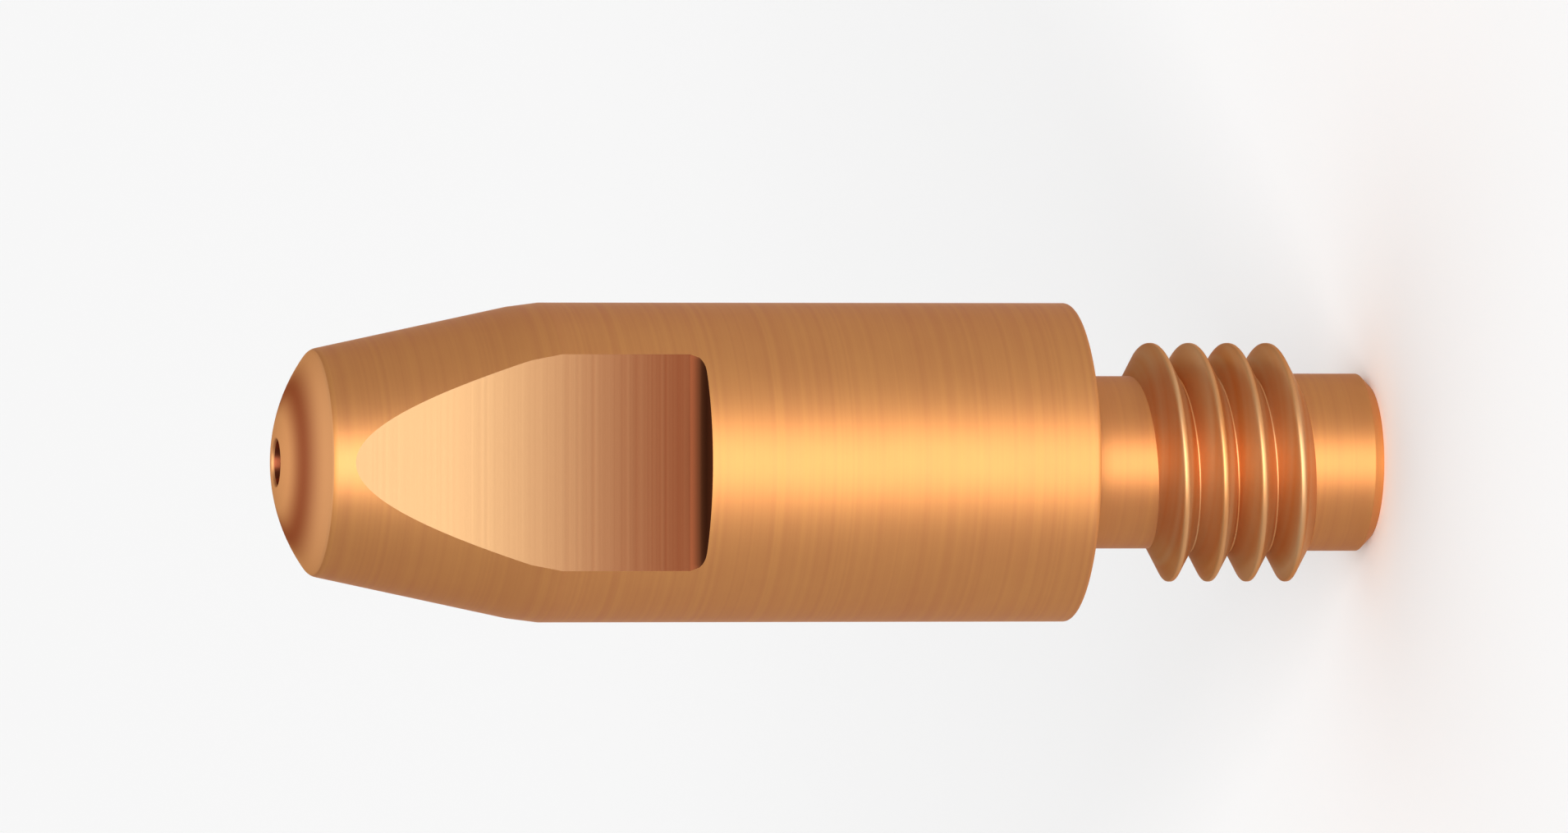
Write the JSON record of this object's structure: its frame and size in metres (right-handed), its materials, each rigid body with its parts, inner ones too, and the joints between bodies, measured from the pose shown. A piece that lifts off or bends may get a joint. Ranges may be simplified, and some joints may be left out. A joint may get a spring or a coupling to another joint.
{
  "type": "welding contact tip",
  "caption": "Turned copper contact tip with a tapered nose, spanner flats, a shoulder and a threaded shank, bored through for the wire.",
  "frame": {"origin": "centre of the rear end face, on the part's axis", "axes": "+Z along the axis from the rear end to the nose, -Y out of the front spanner flat, +X along the flats' width"},
  "size_m": [0.008, 0.008, 0.028],
  "materials": {
    "copper": "fine turned"
  },
  "bodies": {
    "root": {"contact_tip": "copper"}
  },
  "joints": []
}
